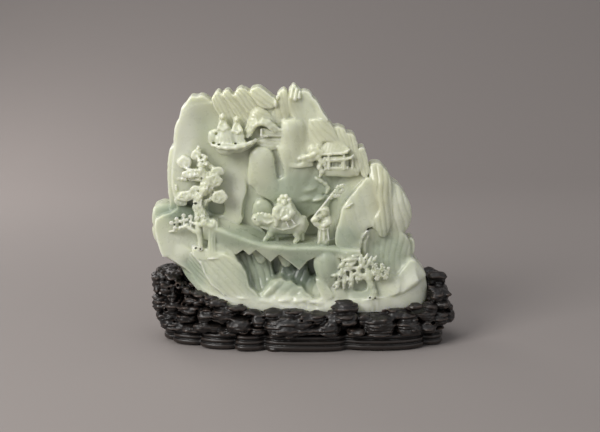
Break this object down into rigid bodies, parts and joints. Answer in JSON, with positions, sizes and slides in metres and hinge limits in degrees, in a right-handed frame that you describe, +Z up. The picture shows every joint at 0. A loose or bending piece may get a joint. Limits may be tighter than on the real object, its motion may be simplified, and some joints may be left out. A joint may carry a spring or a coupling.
{
  "type": "jade mountain carving on a wood stand",
  "caption": "Pale jade boulder carved all round as a mountain landscape with a road, riders, pines and a pavilion, seated in a lobed dark wood stand carved as rockwork.",
  "frame": {"origin": "middle of the footprint's box, on the surface the stand's feet rest on", "axes": "+Z up, +X to the right when looking at the carved front, the front faces -Y"},
  "size_m": [0.2698, 0.1042, 0.2334],
  "materials": {
    "jade": "waxy polish, slightly translucent pale celadon nephrite",
    "wood": "near-black polished hardwood, browner on worn ridges"
  },
  "bodies": {
    "root": {"jade_mountain": "jade", "wood_stand": "wood"}
  },
  "joints": []
}
